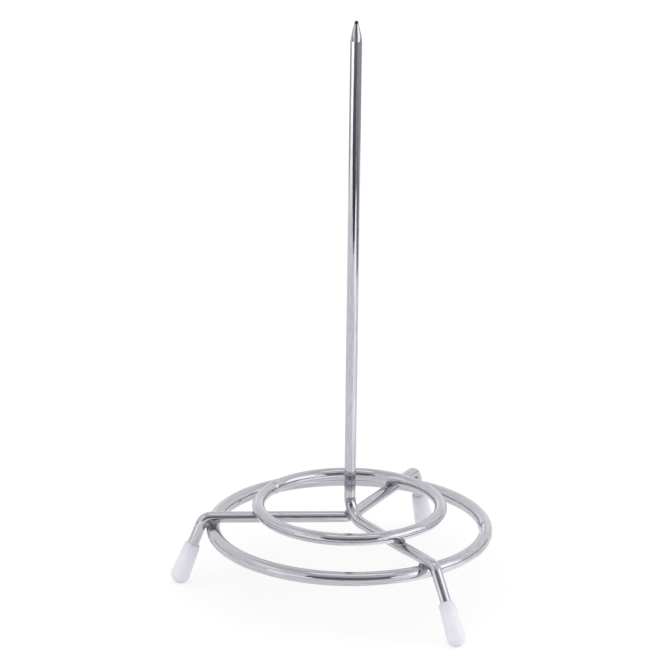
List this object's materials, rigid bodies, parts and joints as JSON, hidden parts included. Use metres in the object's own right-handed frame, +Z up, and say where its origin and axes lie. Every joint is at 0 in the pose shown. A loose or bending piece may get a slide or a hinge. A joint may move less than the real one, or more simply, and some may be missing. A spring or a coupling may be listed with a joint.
{
  "type": "ticket spike",
  "caption": "Chromed wire counter spike for paper order tickets: an upright pointed wire on a splayed wire base with concentric rest rings and push-on plastic foot caps.",
  "frame": {"origin": "on the table plane, straight below the axis of the spike", "axes": "+Z up along the spike, -X out along the left leg, the front leg 60 degrees from +X towards -Y"},
  "size_m": [0.0909, 0.094, 0.164],
  "materials": {
    "chrome_wire": "bright chrome plate on drawn steel wire",
    "plated_weld": "chrome plate over unground weld metal, slightly rough",
    "cap_plastic": "milky translucent soft vinyl, smooth"
  },
  "bodies": {
    "root": {"spike_wire": "chrome_wire", "leg_pair_wire": "chrome_wire", "inner_ring": "chrome_wire", "outer_ring": "chrome_wire", "front_foot_cap": "cap_plastic", "left_foot_cap": "cap_plastic", "rear_foot_cap": "cap_plastic", "hub_weld": "plated_weld", "inner_ring_welds": "plated_weld", "outer_ring_welds": "plated_weld"}
  },
  "joints": []
}
